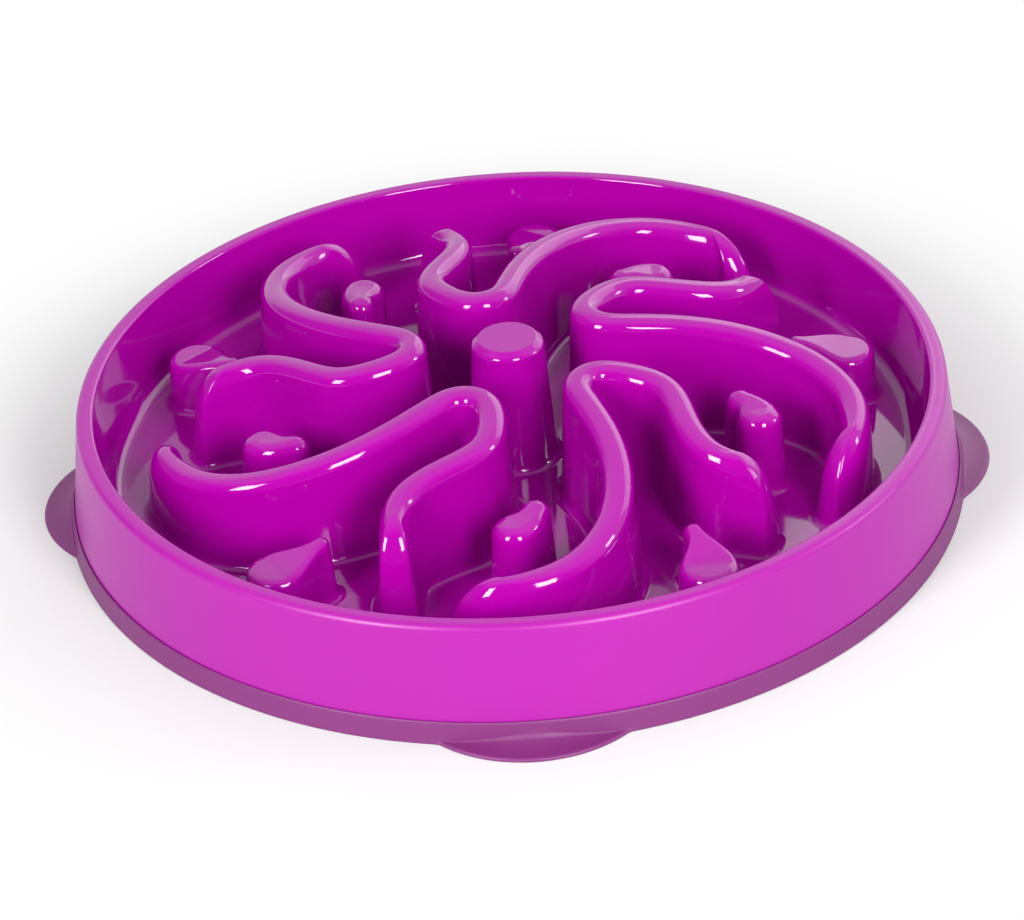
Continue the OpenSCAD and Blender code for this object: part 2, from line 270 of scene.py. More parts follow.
class Moulding:
    """Points and faces of one closed mesh, gathered loop by loop."""

    def __init__(self):
        self.points = []
        self.faces = []
        self.count = 0

    def loop(self, xyz):
        """Adds a loop of points and returns their numbers."""
        self.points.append(np.asarray(xyz, float))
        self.count += len(xyz)
        return np.arange(self.count - len(xyz), self.count)

    def band(self, low, high):
        """Joins two closed loops of as many points."""
        quads = np.column_stack([low, np.roll(low, -1), np.roll(high, -1), high])
        self.faces.extend(quads.tolist())

    def bands(self, loops):
        """Joins a run of loops, and returns the numbers of the first and last."""
        rows = [self.loop(xyz) for xyz in loops]
        for low, high in zip(rows, rows[1:]):
            self.band(low, high)
        return rows[0], rows[-1]

    def lid(self, row):
        """Closes a loop across its own axis, which runs from its first point to its middle one."""
        half = len(row) // 2
        right, left = row[1:half], row[:half:-1]
        self.faces.append([row[0], right[0], left[0]])
        self.faces.append([row[half], left[-1], right[-1]])
        self.faces.extend(np.column_stack([right[:-1], right[1:], left[1:], left[:-1]]).tolist())

    def plate(self, rim, holes):
        """Fills the flat ground inside a rim and between the holes with triangles."""
        rows = [rim, *holes]
        everything = np.vstack(self.points)
        flat = [everything[row][:, :2] for row in rows]
        numbers = np.concatenate(rows)
        places = np.vstack(flat)
        edges, first = [], 0
        for row in rows:
            edges += [(first + k, first + (k + 1) % len(row)) for k in range(len(row))]
            first += len(row)
        triangles, sources = delaunay_2d_cdt(
            [Vector(p) for p in places], edges, [], 0, SAME_POINT)[2:4]
        came_from = np.array([given[0] for given in sources])
        corners = came_from[np.array(triangles)]
        middles = places[corners].mean(axis=1)
        keep = inside(middles, flat[0])
        for hole in flat[1:]:
            keep &= ~inside(middles, hole)
        self.faces.extend(numbers[corners[keep]].tolist())

    def finish(self, name):
        """The piece as a Blender mesh object in metres, smooth, with its faces turned outward."""
        mesh = bpy.data.meshes.new(name)
        mesh.from_pydata(np.vstack(self.points) * MM, [], self.faces)
        made = bmesh.new()
        made.from_mesh(mesh)
        bmesh.ops.recalc_face_normals(made, faces=made.faces)
        made.to_mesh(mesh)
        made.free()
        mesh.shade_smooth()
        piece = bpy.data.objects.new(name, mesh)
        bpy.context.scene.collection.objects.link(piece)
        return piece


def inside(points, outline):
    """Which points lie inside a closed outline, by counting crossings."""
    found = np.zeros(len(points), bool)
    for a, b in zip(outline, np.roll(outline, -1, axis=0)):
        crosses = (a[1] > points[:, 1]) != (b[1] > points[:, 1])
        if crosses.any():
            x = a[0] + (points[:, 1] - a[1]) * (b[0] - a[0]) / (b[1] - a[1])
            found ^= crosses & (points[:, 0] < x)
    return found


def lathe(profile, angles):
    """Loops round the axis, one for each (r, z) of a profile."""
    way = np.column_stack([np.cos(angles), np.sin(angles)])
    return [np.column_stack([way * r, np.full(len(angles), z)]) for r, z in profile]


def wall_profile():
    """The wall's outline from the floor's top over the rim and skirt to the floor's underside."""
    upright = math.pi / 2
    fold_z = BOWL_H - WALL_T
    skirt_t = WALL_T / math.cos(SKIRT_LEAN)
    shoulder_x = RIM_R - RIM_ROUND * (1 - math.sin(SKIRT_LEAN)) / math.cos(SKIRT_LEAN)
    lip_x = RIM_R - RIM_W + LIP_ROUND * (1 - math.sin(WALL_LEAN)) / math.cos(WALL_LEAN)
    corner = arc(CORNER_X, FLOOR_Z + CORNER_R, CORNER_R, -upright, -WALL_LEAN)
    lip = arc(lip_x, BOWL_H - LIP_ROUND, LIP_ROUND, math.pi - WALL_LEAN, upright)
    shoulder = arc(shoulder_x, BOWL_H - RIM_ROUND, RIM_ROUND, upright, SKIRT_LEAN)
    hem_r, hem_z = skirt_r(SKIRT_FOOT), SKIRT_FOOT + SKIRT_EDGE
    hem_out = arc(hem_r - SKIRT_EDGE, hem_z, SKIRT_EDGE, 0, -upright, TINY_STEPS)
    hem_in = arc(hem_r - skirt_t + SKIRT_EDGE, hem_z, SKIRT_EDGE, -upright, -math.pi, TINY_STEPS)
    back_r = wall_r(fold_z) + WALL_T / math.cos(WALL_LEAN)
    fold_out = arc(
        skirt_r(fold_z) - skirt_t - FOLD_ROUND, fold_z - FOLD_ROUND, FOLD_ROUND,
        SKIRT_LEAN, upright, SMALL_STEPS)
    fold_in = arc(
        back_r + FOLD_ROUND, fold_z - FOLD_ROUND, FOLD_ROUND,
        upright, math.pi - WALL_LEAN, SMALL_STEPS)
    back = arc(CORNER_X, FLOOR_Z + CORNER_R, CORNER_R + WALL_T, -WALL_LEAN, -upright)
    return np.vstack([
        [[CORNER_X - KEEP_FLAT, FLOOR_Z]], corner,
        line(corner[-1], lip[0]), lip,
        line(lip[-1], shoulder[0]), shoulder,
        line(shoulder[-1], hem_out[0]), hem_out,
        line(hem_out[-1], hem_in[0]), hem_in,
        line(hem_in[-1], fold_out[0]), fold_out,
        line(fold_out[-1], fold_in[0]), fold_in,
        line(fold_in[-1], back[0]), back,
        [[CORNER_X - KEEP_FLAT, FLOOR_UNDER]],
    ])


def polar(shares):
    """Points of the floor from shares of the rim's radius and degrees."""
    r, degrees = np.array(shares, float).T
    a = np.radians(degrees)
    return np.column_stack([RIM_R * r * np.cos(a), RIM_R * r * np.sin(a)])


def smooth_line(marks):
    """A smooth run beside the marks, which starts and ends on the first and last of them."""
    held = np.vstack([2 * marks[0] - marks[1], marks, 2 * marks[-1] - marks[-2]])
    t = np.linspace(0, 1, SPAN_STEPS, endpoint=False)[:, None]
    runs = []
    for a, b, c, d in zip(held, held[1:], held[2:], held[3:]):
        runs.append(
            ((1 - t)**3 * a + (3 * t**3 - 6 * t**2 + 4) * b
             + (3 * t + 3 * t**2 - 3 * t**3 + 1) * c + t**3 * d) / 6)
    return np.vstack([*runs, marks[-1:]])


def foot_out(z):
    """How far a wall stands out at the floor for a shoulder at a height."""
    return (z - FLOOR_Z) * math.tan(DRAFT)


def loop_round(count):
    """A loop round a line of so many points, from behind its first: for each point of the loop
    the line's point, -1 or 1 on the ends, the angle round an end, and the side (1 is right)."""
    last = count - 1
    caps = np.arange(1, END_STEPS) * math.pi / 2 / END_STEPS
    upright = np.full(count, math.pi / 2)
    half_station = np.concatenate([0 * caps, np.arange(count), 0 * caps + last]).astype(int)
    half_angle = np.concatenate([caps, upright, caps[::-1]])
    half_end = np.concatenate([0 * caps - 1, 0 * upright, 0 * caps + 1])
    station = np.concatenate([[0], half_station, [last], half_station[::-1]])
    angle = np.concatenate([[0], half_angle, [0], half_angle[::-1]])
    end = np.concatenate([[-1], half_end, [1], half_end[::-1]])
    side = np.concatenate([[0], 0 * half_angle + 1, [0], 0 * half_angle - 1])
    return station, end, angle, side


def ring_round(spine, half, nose):
    """Points of a loop round a line, half its width out and the nose past its ends."""
    station, end, angle, side = loop_round(len(spine))
    last = len(spine) - 1
    step = (spine[np.minimum(np.arange(last + 1) + 1, last)]
            - spine[np.maximum(np.arange(last + 1) - 1, 0)])
    way = (step / np.linalg.norm(step, axis=1)[:, None])[station]
    right = np.column_stack([way[:, 1], -way[:, 0]])
    return (spine[station] + way * (end * np.cos(angle) * nose)[:, None]
            + right * (side * np.sin(angle) * half)[:, None])


def run_along(spine):
    """Distance along a line at each of its points."""
    return np.append(0, np.cumsum(np.linalg.norm(np.diff(spine, axis=0), axis=1)))


def seed_form(line_shares, halves, sink, rounding):
    """A seed or teardrop as loops, from the thin end: its top, shoulder and foot, and its
    hollow's shoulder and mouth."""
    spine = smooth_line(polar(line_shares))
    run = run_along(spine)
    share = run / run[-1]
    half = halves[0] + (halves[1] - halves[0]) * share**2 * (3 - 2 * share)
    top_z = dome_z(spine) - sink
    station = loop_round(len(spine))[0]
    half, top_z = half[station], top_z[station]
    foot_half = half + foot_out(top_z.max() - rounding)
    return dict(middle=spine[station],
                top=ring_round(spine, half - rounding, half - rounding),
                shoulder=ring_round(spine, half, half),
                foot=ring_round(spine, foot_half, foot_half),
                hollow=ring_round(spine, half - WALL_T, half - WALL_T),
                hem=ring_round(spine, foot_half - WALL_IN, foot_half - WALL_IN),
                top_z=top_z, drop=np.full(len(station), float(rounding)))


def corner(x, z, inset, radius, start, end):
    """A rounded corner between two faces, which face outward at the two angles. The sharp
    outline's corner is at x and z, and the outline is moved in by the inset."""
    middle = (start + end) / 2
    reach = (inset + radius) / math.cos((end - start) / 2)
    return arc(x - reach * math.cos(middle), z - reach * math.sin(middle), radius, start, end)


def post_profile(inset, ground_z, foot_round, lower_round, upper_round):
    """The post's outline, from the ground at its foot to just inside the edge of its flat top."""
    bevel_z = POST_TOP - BEVEL_H
    upright = math.pi / 2
    foot_r = POST_R + (bevel_z - ground_z) * math.tan(DRAFT) - inset / math.cos(DRAFT)
    bend = foot_round * (1 - math.sin(DRAFT)) / math.cos(DRAFT)
    foot = arc(foot_r + bend, ground_z + foot_round, foot_round, -upright, DRAFT - math.pi)
    lower = corner(POST_R, bevel_z, inset, lower_round, DRAFT, BEVEL_UP)
    upper = corner(POST_R - BEVEL_W, POST_TOP, inset, upper_round, BEVEL_UP, upright)
    return np.vstack([
        [[foot_r + bend + KEEP_FLAT, ground_z]], foot,
        line(foot[-1], lower[0]), lower,
        line(lower[-1], upper[0]), upper,
        [[upper[-1][0] - KEEP_FLAT, POST_TOP - inset]],
    ])


def post_loops():
    """The post's upper loops from the floor up, and its hollow's from the top down."""
    around = np.arange(POST_POINTS) * 2 * math.pi / POST_POINTS
    upper = post_profile(0, FLOOR_Z, FILLET, POST_ROUND, POST_EDGE)
    under = post_profile(WALL_T, FLOOR_UNDER, HOLLOW_EDGE, HOLLOW_EDGE, HOLLOW_EDGE)
    return lathe(upper, around), lathe(under[::-1], around)


def ridge_form():
    """A ridge as loops, from the tip of its long arm's nose: its top, shoulder and foot, and its
    hollow's shoulder and mouth."""
    spine = smooth_line(polar(RIDGE_LINE_SHARES))
    run = run_along(spine)
    hook_reach, hook_back, hook_fall = HOOK_NOSE
    arm_reach, arm_back, arm_fall = ARM_NOSE
    hook = np.maximum(0, 1 - run / (NOSE_RUN * hook_back))**2
    arm = np.maximum(0, 1 - (run[-1] - run) / (NOSE_RUN * arm_back))**2
    top_run = run + hook * hook_back - arm * arm_back
    top_line = np.column_stack([np.interp(top_run, run, spine[:, k]) for k in (0, 1)])
    tall = dome_z(top_line) - FLOOR_Z
    deep = (RIDGE_ROUND + hook * (hook_fall * tall - RIDGE_ROUND)
            + arm * (arm_fall * tall - RIDGE_ROUND))
    station, end = loop_round(len(spine))[:2]
    nose = np.where(end < 0, hook_reach, arm_reach)
    flat = RIDGE_HALF - RIDGE_ROUND
    foot_half = RIDGE_HALF + foot_out(dome_z(spine)[station] - RIDGE_ROUND)
    return dict(middle=top_line[station],
                top=ring_round(top_line, flat, flat),
                shoulder=ring_round(spine, RIDGE_HALF, nose),
                foot=ring_round(spine, foot_half, nose + NOSE_FLARE),
                hollow=ring_round(spine, RIDGE_HALF - WALL_T, nose * (1 - NOSE_SOLID_SHARE)),
                hem=ring_round(spine, foot_half - WALL_IN, nose + NOSE_FLARE - WALL_IN),
                top_z=dome_z(top_line)[station], drop=deep[station])


def evened(radii):
    """Fillet radii round a loop, evened out without raising any of them."""
    for _ in range(FILLET_PASSES):
        low = np.minimum(radii, np.minimum(np.roll(radii, 1), np.roll(radii, -1)))
        mean = (np.roll(low, 1) + 2 * low + np.roll(low, -1)) / 4
        radii = np.minimum(radii, mean + FILLET_GAIN)
    return radii


def outward(loop):
    """Unit vectors square to a loop that runs anticlockwise, away from its inside."""
    step = np.roll(loop, -1, axis=0) - np.roll(loop, 1, axis=0)
    step /= np.linalg.norm(step, axis=1)[:, None]
    return np.column_stack([step[:, 1], -step[:, 0]])


def loop_room(loop, out):
    """How far each point of a loop can move outward before its neighbours close in on it."""
    moved = loop + out * TRIAL_MOVE
    before = np.linalg.norm(np.roll(loop, -1, axis=0) - np.roll(loop, 1, axis=0), axis=1)
    after = np.linalg.norm(np.roll(moved, -1, axis=0) - np.roll(moved, 1, axis=0), axis=1)
    closing = 1 - after / before
    room = TRIAL_MOVE / np.maximum(closing, CLOSING_LEAST)
    return np.where(closing > CLOSING_LEAST, room, FREE_ROOM)


def at_height(xy, z):
    """A level loop's points, lifted to one height or to a height for each point."""
    return np.column_stack([xy, z + 0 * xy[:, 0]])


def rounded_edge(top, shoulder, top_z, drop, foot, foot_z):
    """Loops up a rounded edge, from where a straight wall out of the foot runs into it."""
    reach = shoulder - top
    wide = np.linalg.norm(reach, axis=1)
    x = ((foot - top) * reach).sum(axis=1) / wide**2
    z = (foot_z - top_z + drop) / drop
    touch = np.arctan2(z, x) + np.arccos(np.minimum(1, 1 / np.hypot(x, z)))
    rows = []
    for share in np.linspace(0, 1, ROUND_STEPS + 1):
        a = touch + share * (math.pi / 2 - touch)
        rows.append(at_height(top + reach * np.cos(a)[:, None], top_z - drop * (1 - np.sin(a))))
    return rows


def wall_rows(low, high):
    """Loops up a straight wall, two of them close to its ends so that its edges shade cleanly."""
    tall = (high[:, 2] - low[:, 2])[:, None]
    return [low + (high - low) * share for share in (KEEP_FLAT / tall, 0.5, 1 - KEEP_FLAT / tall)]


def lean_of(foot, foot_z, out, high):
    """Lean from upright of the wall between a foot and the loop above it."""
    return np.arctan2(((foot - high[:, :2]) * out).sum(axis=1), high[:, 2] - foot_z)


def fillet_rows(foot, out, lean):
    """Loops up the fillet between the floor and a wall, as wide as the room beside it allows."""
    to_corner = CORNER_X - 3 * KEEP_FLAT - np.linalg.norm(foot, axis=1)
    room = np.minimum(FILLET_ROOM_SHARE * (loop_room(foot, out) - KEEP_FLAT), to_corner)
    fillet = evened(np.minimum(FILLET, room))
    bend = fillet * (1 - np.sin(lean)) / np.cos(lean)
    rows = [at_height(foot + out * (bend + KEEP_FLAT)[:, None], FLOOR_Z)]
    for share in np.linspace(0, 1, FILLET_STEPS + 1):
        a = share * (math.pi / 2 - lean)
        rows.append(at_height(
            foot + out * (bend - fillet * np.sin(a))[:, None],
            FLOOR_Z + fillet * (1 - np.cos(a))))
    return rows


def mouth_rows(hem, out, lean):
    """Loops up the rounded mouth of a hollow, from the floor's underside."""
    middle = hem + out * (HOLLOW_EDGE * (1 - np.sin(lean)) / np.cos(lean))[:, None]
    rows = [at_height(middle + out * KEEP_FLAT, FLOOR_UNDER)]
    for share in np.linspace(0, 1, SMALL_STEPS + 1):
        a = math.pi / 2 - share * (math.pi / 2 - lean)
        rows.append(at_height(
            middle - out * (HOLLOW_EDGE * np.cos(a))[:, None],
            FLOOR_UNDER + HOLLOW_EDGE * (1 - np.sin(a))))
    return rows


def form_loops(form):
    """A form's upper loops from the floor to its top, and its hollow's from the top down."""
    top, foot, hem = form["top"], form["foot"], form["hem"]
    top_z, drop = form["top_z"], form["drop"]
    out = outward(foot)
    inward = form["middle"] - top
    share = np.minimum(LID_SHARE_MOST, KEEP_FLAT / np.linalg.norm(inward, axis=1))
    inner = top + inward * share[:, None]

    edge = rounded_edge(top, form["shoulder"], top_z, drop, foot, FLOOR_Z)
    upper = fillet_rows(foot, out, lean_of(foot, FLOOR_Z, out, edge[0]))
    upper += [*wall_rows(upper[-1], edge[0]), *edge, at_height(inner, top_z)]

    edge = rounded_edge(top, form["hollow"], top_z - WALL_T, drop - WALL_T, hem, FLOOR_UNDER)
    under = mouth_rows(hem, out, lean_of(hem, FLOOR_UNDER, out, edge[0]))
    under += [*wall_rows(under[-1], edge[0]), *edge, at_height(inner, top_z - WALL_T)]
    return upper, under[::-1]


def turned(loops, angle):
    """Loops turned about the bowl's axis, anticlockwise from above."""
    c, s = math.cos(angle), math.sin(angle)
    turn = np.array([[c, s, 0], [-s, c, 0], [0, 0, 1]])
    return [xyz @ turn for xyz in loops]


def make_bowl():
    """The whole gloss moulding as one closed mesh: wall, floor and maze, hollow from below."""
    bowl = Moulding()
    around = np.arange(TURN_STEPS) * 2 * math.pi / TURN_STEPS
    floor_rim, under_rim = bowl.bands(lathe(wall_profile(), around))
    forms = [form_loops(form) for form in (
        ridge_form(),
        seed_form(SEED_LINE_SHARES, SEED_HALVES, SEED_SINK, SEED_ROUND),
        seed_form(TEAR_LINE_SHARES, TEAR_HALVES, TEAR_SINK, TEAR_ROUND),
    )]
    placed = [(post_loops(), 0)]
    for k in range(MAZE_COUNT):
        angle = MAZE_TURN + k * 2 * math.pi / MAZE_COUNT
        placed += [(loops, angle) for loops in forms]
    floor_holes, under_holes = [], []
    for (upper, under), angle in placed:
        foot_row, top_row = bowl.bands(turned(upper, angle))
        bowl.lid(top_row)
        floor_holes.append(foot_row)
        roof_row, hem_row = bowl.bands(turned(under, angle))
        bowl.lid(roof_row)
        under_holes.append(hem_row)
    bowl.plate(floor_rim, floor_holes)
    bowl.plate(under_rim, under_holes)
    return bowl.finish("bowl_moulding")


def ring_r(z):
    """Radius of the ring's outer face at a height, between the feet."""
    return skirt_r(RING_H) + RING_STEP + (RING_H - z) * math.tan(RING_LEAN)


def foot_profile():
    """A foot's radius about its own middle, and the height, at each loop of the outer face."""
    upright = math.pi / 2
    bottom = arc(FOOT_R - RING_EDGE, RING_EDGE, RING_EDGE, -upright, 0, TINY_STEPS)
    edge = arc(
        FOOT_R - FOOT_ROUND, FOOT_EDGE - FOOT_ROUND, FOOT_ROUND, 0, upright, EDGE_STEPS)[1:]
    out_r = edge[-1][0]
    in_r = ring_r(FOOT_EDGE + SCOOP_H) - FOOT_MIDDLE - SCOOP_BITE
    a = np.linspace(0, upright, SCOOP_STEPS + 1)[1:]
    scoop = np.column_stack([
        out_r - (out_r - in_r) * np.sin(a), FOOT_EDGE + SCOOP_H * (1 - np.cos(a))])
    scoop_top = scoop[-1][1]
    above = np.linspace(scoop_top, RING_H - RING_ROUND, ABOVE_STEPS + 1)[1:]
    rest = np.column_stack([in_r - (above - scoop_top), above])
    return np.vstack([bottom, edge, scoop, rest])


def ring_angles():
    """Angles round the ring, close together at the feet."""
    gap = 2 * math.pi / FOOT_COUNT
    at_foot = np.linspace(-FOOT_SPREAD, FOOT_SPREAD, FOOT_TURN_STEPS, endpoint=False)
    between = np.linspace(FOOT_SPREAD, gap - FOOT_SPREAD, RING_TURN_STEPS, endpoint=False)
    return np.concatenate([k * gap + np.append(at_foot, between) for k in range(FOOT_COUNT)])


def ring_outside(angles):
    """Loops up the ring's outer face, which swells softly into the feet with their fine lips."""
    gap = 2 * math.pi / FOOT_COUNT
    from_foot = (angles + gap / 2) % gap - gap / 2
    loops = []
    for foot_r, z in foot_profile():
        cone = ring_r(max(z, RING_EDGE)) - max(0, RING_EDGE - z)
        beside = foot_r**2 - (FOOT_MIDDLE * np.sin(from_foot))**2
        disc = FOOT_MIDDLE * np.cos(from_foot) + np.sqrt(np.maximum(beside, 0))
        gain = np.where(beside > 0, disc, 0) - cone
        r = cone + (gain + np.sqrt(gain**2 + SCOOP_BLEND**2)) / 2 - SCOOP_BACK
        grown = min(1, max(0, (z - FOOT_EDGE) / SCOOP_LIP_RISE))
        r = r + SCOOP_LIP * grown * np.exp(-(gain / SCOOP_LIP_W)**2)
        loops.append(np.column_stack([np.cos(angles) * r, np.sin(angles) * r, z + 0 * r]))
    return loops


def ring_inside():
    """The ring's outline from its top edge down the groove for the skirt, over its inner side
    and back under to the foot of its outer face."""
    upright = math.pi / 2
    fit = RING_FIT / math.cos(SKIRT_LEAN)
    in_r = ring_r(0) - RING_W
    groove_out = skirt_r(SKIRT_FOOT) + fit
    groove_in = skirt_r(SKIRT_FOOT) - WALL_T / math.cos(SKIRT_LEAN) - fit
    shoulder = arc(
        ring_r(RING_H) - RING_ROUND, RING_H - RING_ROUND, RING_ROUND,
        RING_LEAN, upright, SMALL_STEPS)
    mouth = arc(
        skirt_r(RING_H) + fit + RING_EDGE, RING_H - RING_EDGE, RING_EDGE,
        upright, math.pi - SKIRT_LEAN, SMALL_STEPS)
    bead = arc(
        groove_in - RING_EDGE, RING_IN_H - RING_EDGE, RING_EDGE, 0, upright, SMALL_STEPS)
    brim = arc(
        in_r + FOOT_ROUND, RING_IN_H - FOOT_ROUND, FOOT_ROUND, upright, math.pi, EDGE_STEPS)
    hem = arc(in_r + RING_EDGE, RING_EDGE, RING_EDGE, math.pi, 3 * upright, TINY_STEPS)
    return np.vstack([
        shoulder, mouth,
        [[groove_out, SKIRT_FOOT], [groove_in, SKIRT_FOOT]],
        bead, line(bead[-1], brim[0]), brim, line(brim[-1], hem[0]), hem,
        [[in_r + 2 * RING_EDGE, 0], [ring_r(0) - 3 * RING_EDGE, 0]],
    ])


def make_ring():
    """The soft base ring as one closed mesh, with its four scooped feet."""
    ring = Moulding()
    angles = ring_angles()
    first, last = ring.bands(ring_outside(angles) + lathe(ring_inside(), angles))
    ring.band(last, first)
    return ring.finish("soft_base_ring")


def linear(hex_colour):
    """An sRGB hex colour as Blender's linear RGBA."""
    parts = [int(hex_colour[k:k + 2], 16) / 255 for k in (1, 3, 5)]
    return [*(p / 12.92 if p <= 0.04045 else ((p + 0.055) / 1.055)**2.4 for p in parts), 1]


def put(tree, kind, inputs, **settings):
    """Adds a node with its settings; an input is a value, or the socket that feeds it."""
    made = tree.nodes.new(kind)
    for name, value in settings.items():
        setattr(made, name, value)
    for name, value in inputs.items():
        if isinstance(value, bpy.types.NodeSocket):
            tree.links.new(value, made.inputs[name])
        else:
            made.inputs[name].default_value = value
    return made


def per_mm(size):
    """Texture scale for a pattern of this size in millimetres."""
    return 1 / (size * MM)


# Gloss moulding: sizes in millimetres of its pigment clouds, its haze, its orange peel and the
# grain outside, strength and depth of the last two, the range of its roughness where it is
# polished and where it is satin, and its index of refraction
CLOUD_SIZE = 70
HAZE_SIZE = 24
PEEL_SIZE = 3.2
PEEL_BUMP = (0.2, 0.015)
GRAIN_SIZE = 0.5
GRAIN_BUMP = (0.12, 0.03)
POLISHED_ROUGH = (0.04, 0.085)
SATIN_ROUGH = (0.34, 0.4)
POLYPROPYLENE_IOR = 1.49
# Soft ring: sizes in millimetres of its tint's clouds, its dust and its spark texture, strength
# and depth of that texture, the range of its roughness, and its index of refraction
TINT_SIZE = 30
DUST_SIZE = 1.1
SPARK_SIZE = 0.6
SPARK_BUMP = (0.25, 0.05)
SPARK_ROUGH = (0.42, 0.55)
ELASTOMER_IOR = 1.5


def gloss_polypropylene():
    """Injection-moulded polypropylene: an even, deep colour under a mirror gloss inside, where
    the mould was polished, and a fine satin texture on the rim and skirt, which hands hold."""
    material = bpy.data.materials.new("gloss_moulded_polypropylene")
    material.use_nodes = True
    tree = material.node_tree
    shader = tree.nodes["Principled BSDF"]
    place = put(tree, "ShaderNodeTexCoord", {}).outputs["Object"]
    # Outside: 0 within the lip of the rim and 1 beyond it, from the distance to the axis
    flat = put(tree, "ShaderNodeVectorMath", {0: place, 1: (1, 1, 0)}, operation="MULTIPLY")
    reach = put(tree, "ShaderNodeVectorMath", {0: flat.outputs[0]}, operation="LENGTH")
    outside = put(tree, "ShaderNodeMapRange",
                  {"Value": reach.outputs["Value"], "From Min": (RIM_R - RIM_W) * MM,
                   "From Max": (RIM_R - RIM_ROUND + SATIN_PAST_FLAT) * MM},
                  interpolation_type="SMOOTHSTEP").outputs["Result"]
    # Colour: pigment clouds the size of a hand's width, too weak to see as spots
    cloud = put(tree, "ShaderNodeTexNoise",
                {"Vector": place, "Scale": per_mm(CLOUD_SIZE), "Detail": 3.0, "Roughness": 0.5})
    tint = put(tree, "ShaderNodeMix",
               {"Factor": cloud.outputs["Fac"], "A": linear("#94008A"), "B": linear("#9E0292")},
               data_type="RGBA")
    tree.links.new(tint.outputs["Result"], shader.inputs["Base Color"])
    # Haze from washing and handling: patches that spread the gloss a little
    haze = put(tree, "ShaderNodeTexNoise",
               {"Vector": place, "Scale": per_mm(HAZE_SIZE), "Detail": 5.0, "Roughness": 0.62})
    gloss = put(tree, "ShaderNodeMapRange",
                {"Value": haze.outputs["Fac"], "From Min": 0.35, "From Max": 0.75,
                 "To Min": POLISHED_ROUGH[0], "To Max": POLISHED_ROUGH[1]})
    satin = put(tree, "ShaderNodeMapRange",
                {"Value": haze.outputs["Fac"], "From Min": 0.35, "From Max": 0.75,
                 "To Min": SATIN_ROUGH[0], "To Max": SATIN_ROUGH[1]})
    rough = put(tree, "ShaderNodeMix",
                {"Factor": outside, "A": gloss.outputs["Result"], "B": satin.outputs["Result"]})
    tree.links.new(rough.outputs["Result"], shader.inputs["Roughness"])
    # Orange peel: low swells a few thousandths of a millimetre high, which show in the gloss
    peel = put(tree, "ShaderNodeTexNoise",
               {"Vector": place, "Scale": per_mm(PEEL_SIZE), "Detail": 1.5, "Roughness": 0.4})
    swell = put(tree, "ShaderNodeBump",
                {"Height": peel.outputs["Fac"], "Strength": PEEL_BUMP[0],
                 "Distance": PEEL_BUMP[1] * MM})
    # Texture outside: a spark grain about 0.3 mm across, drawn at 0.5 mm so that it shows
    grain = put(tree, "ShaderNodeTexNoise",
                {"Vector": place, "Scale": per_mm(GRAIN_SIZE), "Detail": 2.0, "Roughness": 0.55})
    depth = put(tree, "ShaderNodeMath", {0: outside, 1: GRAIN_BUMP[0]}, operation="MULTIPLY")
    pits = put(tree, "ShaderNodeBump",
               {"Height": grain.outputs["Fac"], "Strength": depth.outputs[0],
                "Distance": GRAIN_BUMP[1] * MM, "Normal": swell.outputs["Normal"]})
    tree.links.new(pits.outputs["Normal"], shader.inputs["Normal"])
    shader.inputs["IOR"].default_value = POLYPROPYLENE_IOR
    return material


def satin_elastomer():
    """Thermoplastic elastomer from a spark-textured mould: soft, dull and a shade darker, with
    a fine grain that spreads the highlights wide, and a trace of pale dust."""
    material = bpy.data.materials.new("satin_thermoplastic_elastomer")
    material.use_nodes = True
    tree = material.node_tree
    shader = tree.nodes["Principled BSDF"]
    place = put(tree, "ShaderNodeTexCoord", {}).outputs["Object"]
    cloud = put(tree, "ShaderNodeTexNoise",
                {"Vector": place, "Scale": per_mm(TINT_SIZE), "Detail": 4.0, "Roughness": 0.55})
    tint = put(tree, "ShaderNodeMix",
               {"Factor": cloud.outputs["Fac"], "A": linear("#6C1E62"), "B": linear("#74256A")},
               data_type="RGBA")
    dust = put(tree, "ShaderNodeTexNoise",
               {"Vector": place, "Scale": per_mm(DUST_SIZE), "Detail": 6.0, "Roughness": 0.7})
    specks = put(tree, "ShaderNodeMapRange",
                 {"Value": dust.outputs["Fac"], "From Min": 0.7, "From Max": 0.78,
                  "To Min": 0.0, "To Max": 0.35})
    dusty = put(tree, "ShaderNodeMix",
                {"Factor": specks.outputs["Result"], "A": tint.outputs["Result"],
                 "B": linear("#A983A3")},
                data_type="RGBA")
    tree.links.new(dusty.outputs["Result"], shader.inputs["Base Color"])
    # Grain: spark texture is about 0.3 mm across, drawn at 0.6 mm so that it shows
    grain = put(tree, "ShaderNodeTexNoise",
                {"Vector": place, "Scale": per_mm(SPARK_SIZE), "Detail": 2.0, "Roughness": 0.6})
    rough = put(tree, "ShaderNodeMapRange",
                {"Value": grain.outputs["Fac"], "From Min": 0.3, "From Max": 0.7,
                 "To Min": SPARK_ROUGH[0], "To Max": SPARK_ROUGH[1]})
    tree.links.new(rough.outputs["Result"], shader.inputs["Roughness"])
    bumps = put(tree, "ShaderNodeBump",
                {"Height": grain.outputs["Fac"], "Strength": SPARK_BUMP[0],
                 "Distance": SPARK_BUMP[1] * MM})
    tree.links.new(bumps.outputs["Normal"], shader.inputs["Normal"])
    shader.inputs["IOR"].default_value = ELASTOMER_IOR
    return material


def finish_piece(piece, material, nodes):
    """Gives a piece its material and body, and lets it stand for its CAD nodes."""
    piece.data.materials.append(material)
    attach(piece, "root")
    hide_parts(*nodes)


bowl_nodes = [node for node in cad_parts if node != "base_ring"]
finish_piece(make_bowl(), gloss_polypropylene(), bowl_nodes)
finish_piece(make_ring(), satin_elastomer(), ["base_ring"])

# Studio: sizes in metres. The floor fades to plain white away from the bowl
FLOOR_HALF = 4
FADE_START = 0.14
FADE_END = 0.24
